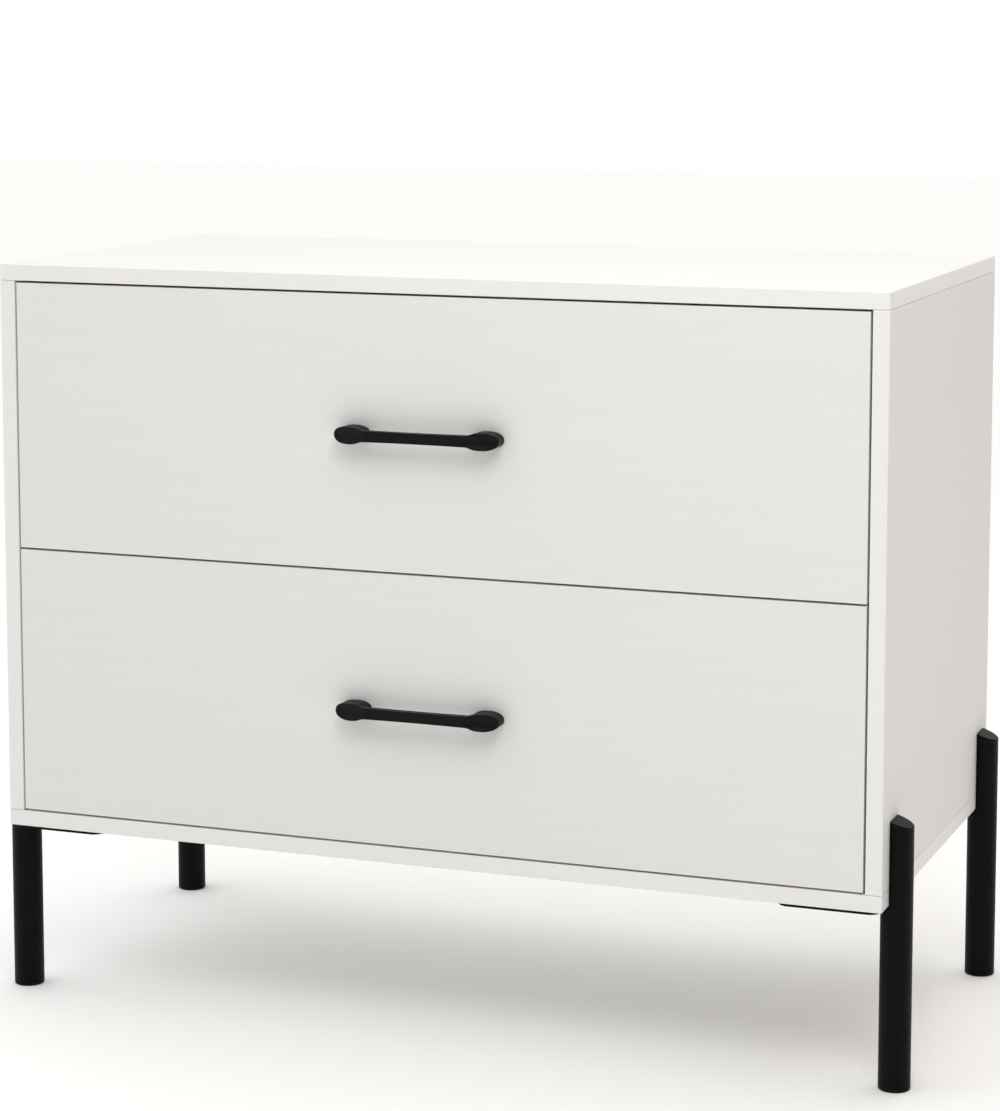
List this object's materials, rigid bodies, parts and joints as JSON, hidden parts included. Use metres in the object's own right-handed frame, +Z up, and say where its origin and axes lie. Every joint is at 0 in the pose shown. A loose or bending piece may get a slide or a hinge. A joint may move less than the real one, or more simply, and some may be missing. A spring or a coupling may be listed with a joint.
{
  "type": "two-drawer nightstand",
  "caption": "Wide white nightstand with full-width flush drawers on ball-bearing slides, waisted black bar handles and black tube legs that clasp the side panels.",
  "frame": {"origin": "on the floor, under the centre of the bounding box, which takes in the handles and the legs", "axes": "+Z up, +X to the right of someone facing the drawers, -Y the way the drawers open"},
  "size_m": [0.8866, 0.448, 0.703],
  "materials": {
    "melamine": "matte white melamine foil with a very faint wood grain",
    "drawer_board": "plain matte white foil",
    "hardboard": "white lacquered hardboard",
    "black_powder_coat": "matte black powder coat",
    "black_plastic": "matte black moulded plastic",
    "white_plastic": "matte white extruded plastic",
    "zinc_steel": "bright zinc-plated steel"
  },
  "bodies": {
    "cabinet": {"top_panel": "melamine", "bottom_panel": "melamine", "left_side_panel": "melamine", "right_side_panel": "melamine", "upper_back_panel": "hardboard", "lower_back_panel": "hardboard", "back_joining_strip": "white_plastic", "front_left_leg": "black_powder_coat", "front_left_leg_plate": "black_powder_coat", "front_left_foot": "black_plastic", "rear_left_leg": "black_powder_coat", "rear_left_leg_plate": "black_powder_coat", "rear_left_foot": "black_plastic", "front_right_leg": "black_powder_coat", "front_right_leg_plate": "black_powder_coat", "front_right_foot": "black_plastic", "rear_right_leg": "black_powder_coat", "rear_right_leg_plate": "black_powder_coat", "rear_right_foot": "black_plastic", "lower_left_cabinet_rail": "zinc_steel", "lower_right_cabinet_rail": "zinc_steel", "upper_left_cabinet_rail": "zinc_steel", "upper_right_cabinet_rail": "zinc_steel"},
    "lower_drawer": {"lower_drawer_front": "melamine", "lower_drawer_left_side": "drawer_board", "lower_drawer_right_side": "drawer_board", "lower_drawer_back": "drawer_board", "lower_drawer_bottom": "hardboard", "lower_drawer_brace": "drawer_board", "lower_handle": "black_powder_coat", "lower_left_handle_screw": "zinc_steel", "lower_right_handle_screw": "zinc_steel", "lower_left_drawer_rail": "zinc_steel", "lower_right_drawer_rail": "zinc_steel"},
    "lower_slide_middles": {"lower_left_middle_rail": "zinc_steel", "lower_right_middle_rail": "zinc_steel"},
    "upper_drawer": {"upper_drawer_front": "melamine", "upper_drawer_left_side": "drawer_board", "upper_drawer_right_side": "drawer_board", "upper_drawer_back": "drawer_board", "upper_drawer_bottom": "hardboard", "upper_drawer_brace": "drawer_board", "upper_handle": "black_powder_coat", "upper_left_handle_screw": "zinc_steel", "upper_right_handle_screw": "zinc_steel", "upper_left_drawer_rail": "zinc_steel", "upper_right_drawer_rail": "zinc_steel"},
    "upper_slide_middles": {"upper_left_middle_rail": "zinc_steel", "upper_right_middle_rail": "zinc_steel"}
  },
  "joints": [
    {"name": "lower_drawer_slide", "type": "slide", "parent": "cabinet", "child": "lower_drawer", "axis": [0, -1, 0], "range_m": [0, 0.35]},
    {"name": "lower_slide_middles_slide", "type": "slide", "parent": "cabinet", "child": "lower_slide_middles", "axis": [0, -1, 0], "range_m": [0, 0.175]},
    {"name": "upper_drawer_slide", "type": "slide", "parent": "cabinet", "child": "upper_drawer", "axis": [0, -1, 0], "range_m": [0, 0.35]},
    {"name": "upper_slide_middles_slide", "type": "slide", "parent": "cabinet", "child": "upper_slide_middles", "axis": [0, -1, 0], "range_m": [0, 0.175]}
  ],
  "couplings": [
    {"joint": "lower_slide_middles_slide", "follows": "lower_drawer_slide", "ratio": 0.5},
    {"joint": "upper_slide_middles_slide", "follows": "upper_drawer_slide", "ratio": 0.5}
  ]
}
